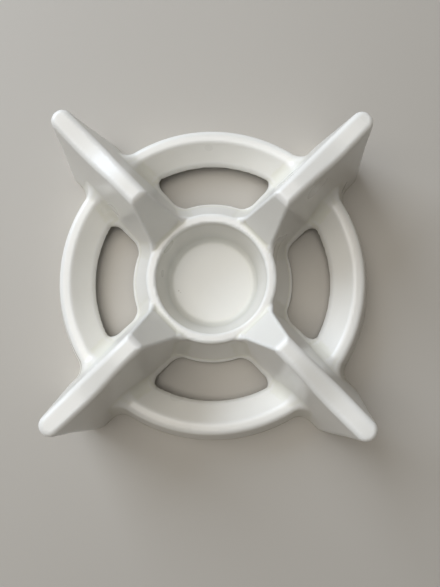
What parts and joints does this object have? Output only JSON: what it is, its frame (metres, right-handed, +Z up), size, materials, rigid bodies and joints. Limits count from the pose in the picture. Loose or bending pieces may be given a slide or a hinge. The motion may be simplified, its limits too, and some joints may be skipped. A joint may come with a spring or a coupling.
{
  "type": "tealight warmer stand",
  "caption": "Glazed porcelain tealight warmer: a central candle cup in a dished, windowed base ring, with tapered upright fins that hold a pot above the flame.",
  "frame": {"origin": "centre of the foot, on the surface that the warmer stands on", "axes": "+Z up along the axis of the cup; the fins stand on the diagonals between +X and +Y, and the windows lie on +X, +Y, -X and -Y"},
  "size_m": [0.146, 0.146, 0.0505],
  "materials": {
    "glazed_porcelain": "glossy white glaze over a cast porcelain body, softly rounded at every edge",
    "unglazed_foot": "wiped, unglazed bisque where it stands, matt and faintly grainy"
  },
  "bodies": {
    "root": {"cup_floor": "glazed_porcelain", "cup_wall": "glazed_porcelain", "fin_blade_ne": "glazed_porcelain", "fin_blade_nw": "glazed_porcelain", "fin_blade_se": "glazed_porcelain", "fin_blade_sw": "glazed_porcelain", "fin_root_ne": "glazed_porcelain", "fin_root_nw": "glazed_porcelain", "fin_root_se": "glazed_porcelain", "fin_root_sw": "glazed_porcelain", "foot_arc_east": "unglazed_foot", "foot_arc_north": "unglazed_foot", "foot_arc_south": "unglazed_foot", "foot_arc_west": "unglazed_foot", "foot_toe_ne": "unglazed_foot", "foot_toe_nw": "unglazed_foot", "foot_toe_se": "unglazed_foot", "foot_toe_sw": "unglazed_foot", "hub_skirt": "glazed_porcelain", "ring_arc_east": "glazed_porcelain", "ring_arc_north": "glazed_porcelain", "ring_arc_south": "glazed_porcelain", "ring_arc_west": "glazed_porcelain"}
  },
  "joints": []
}
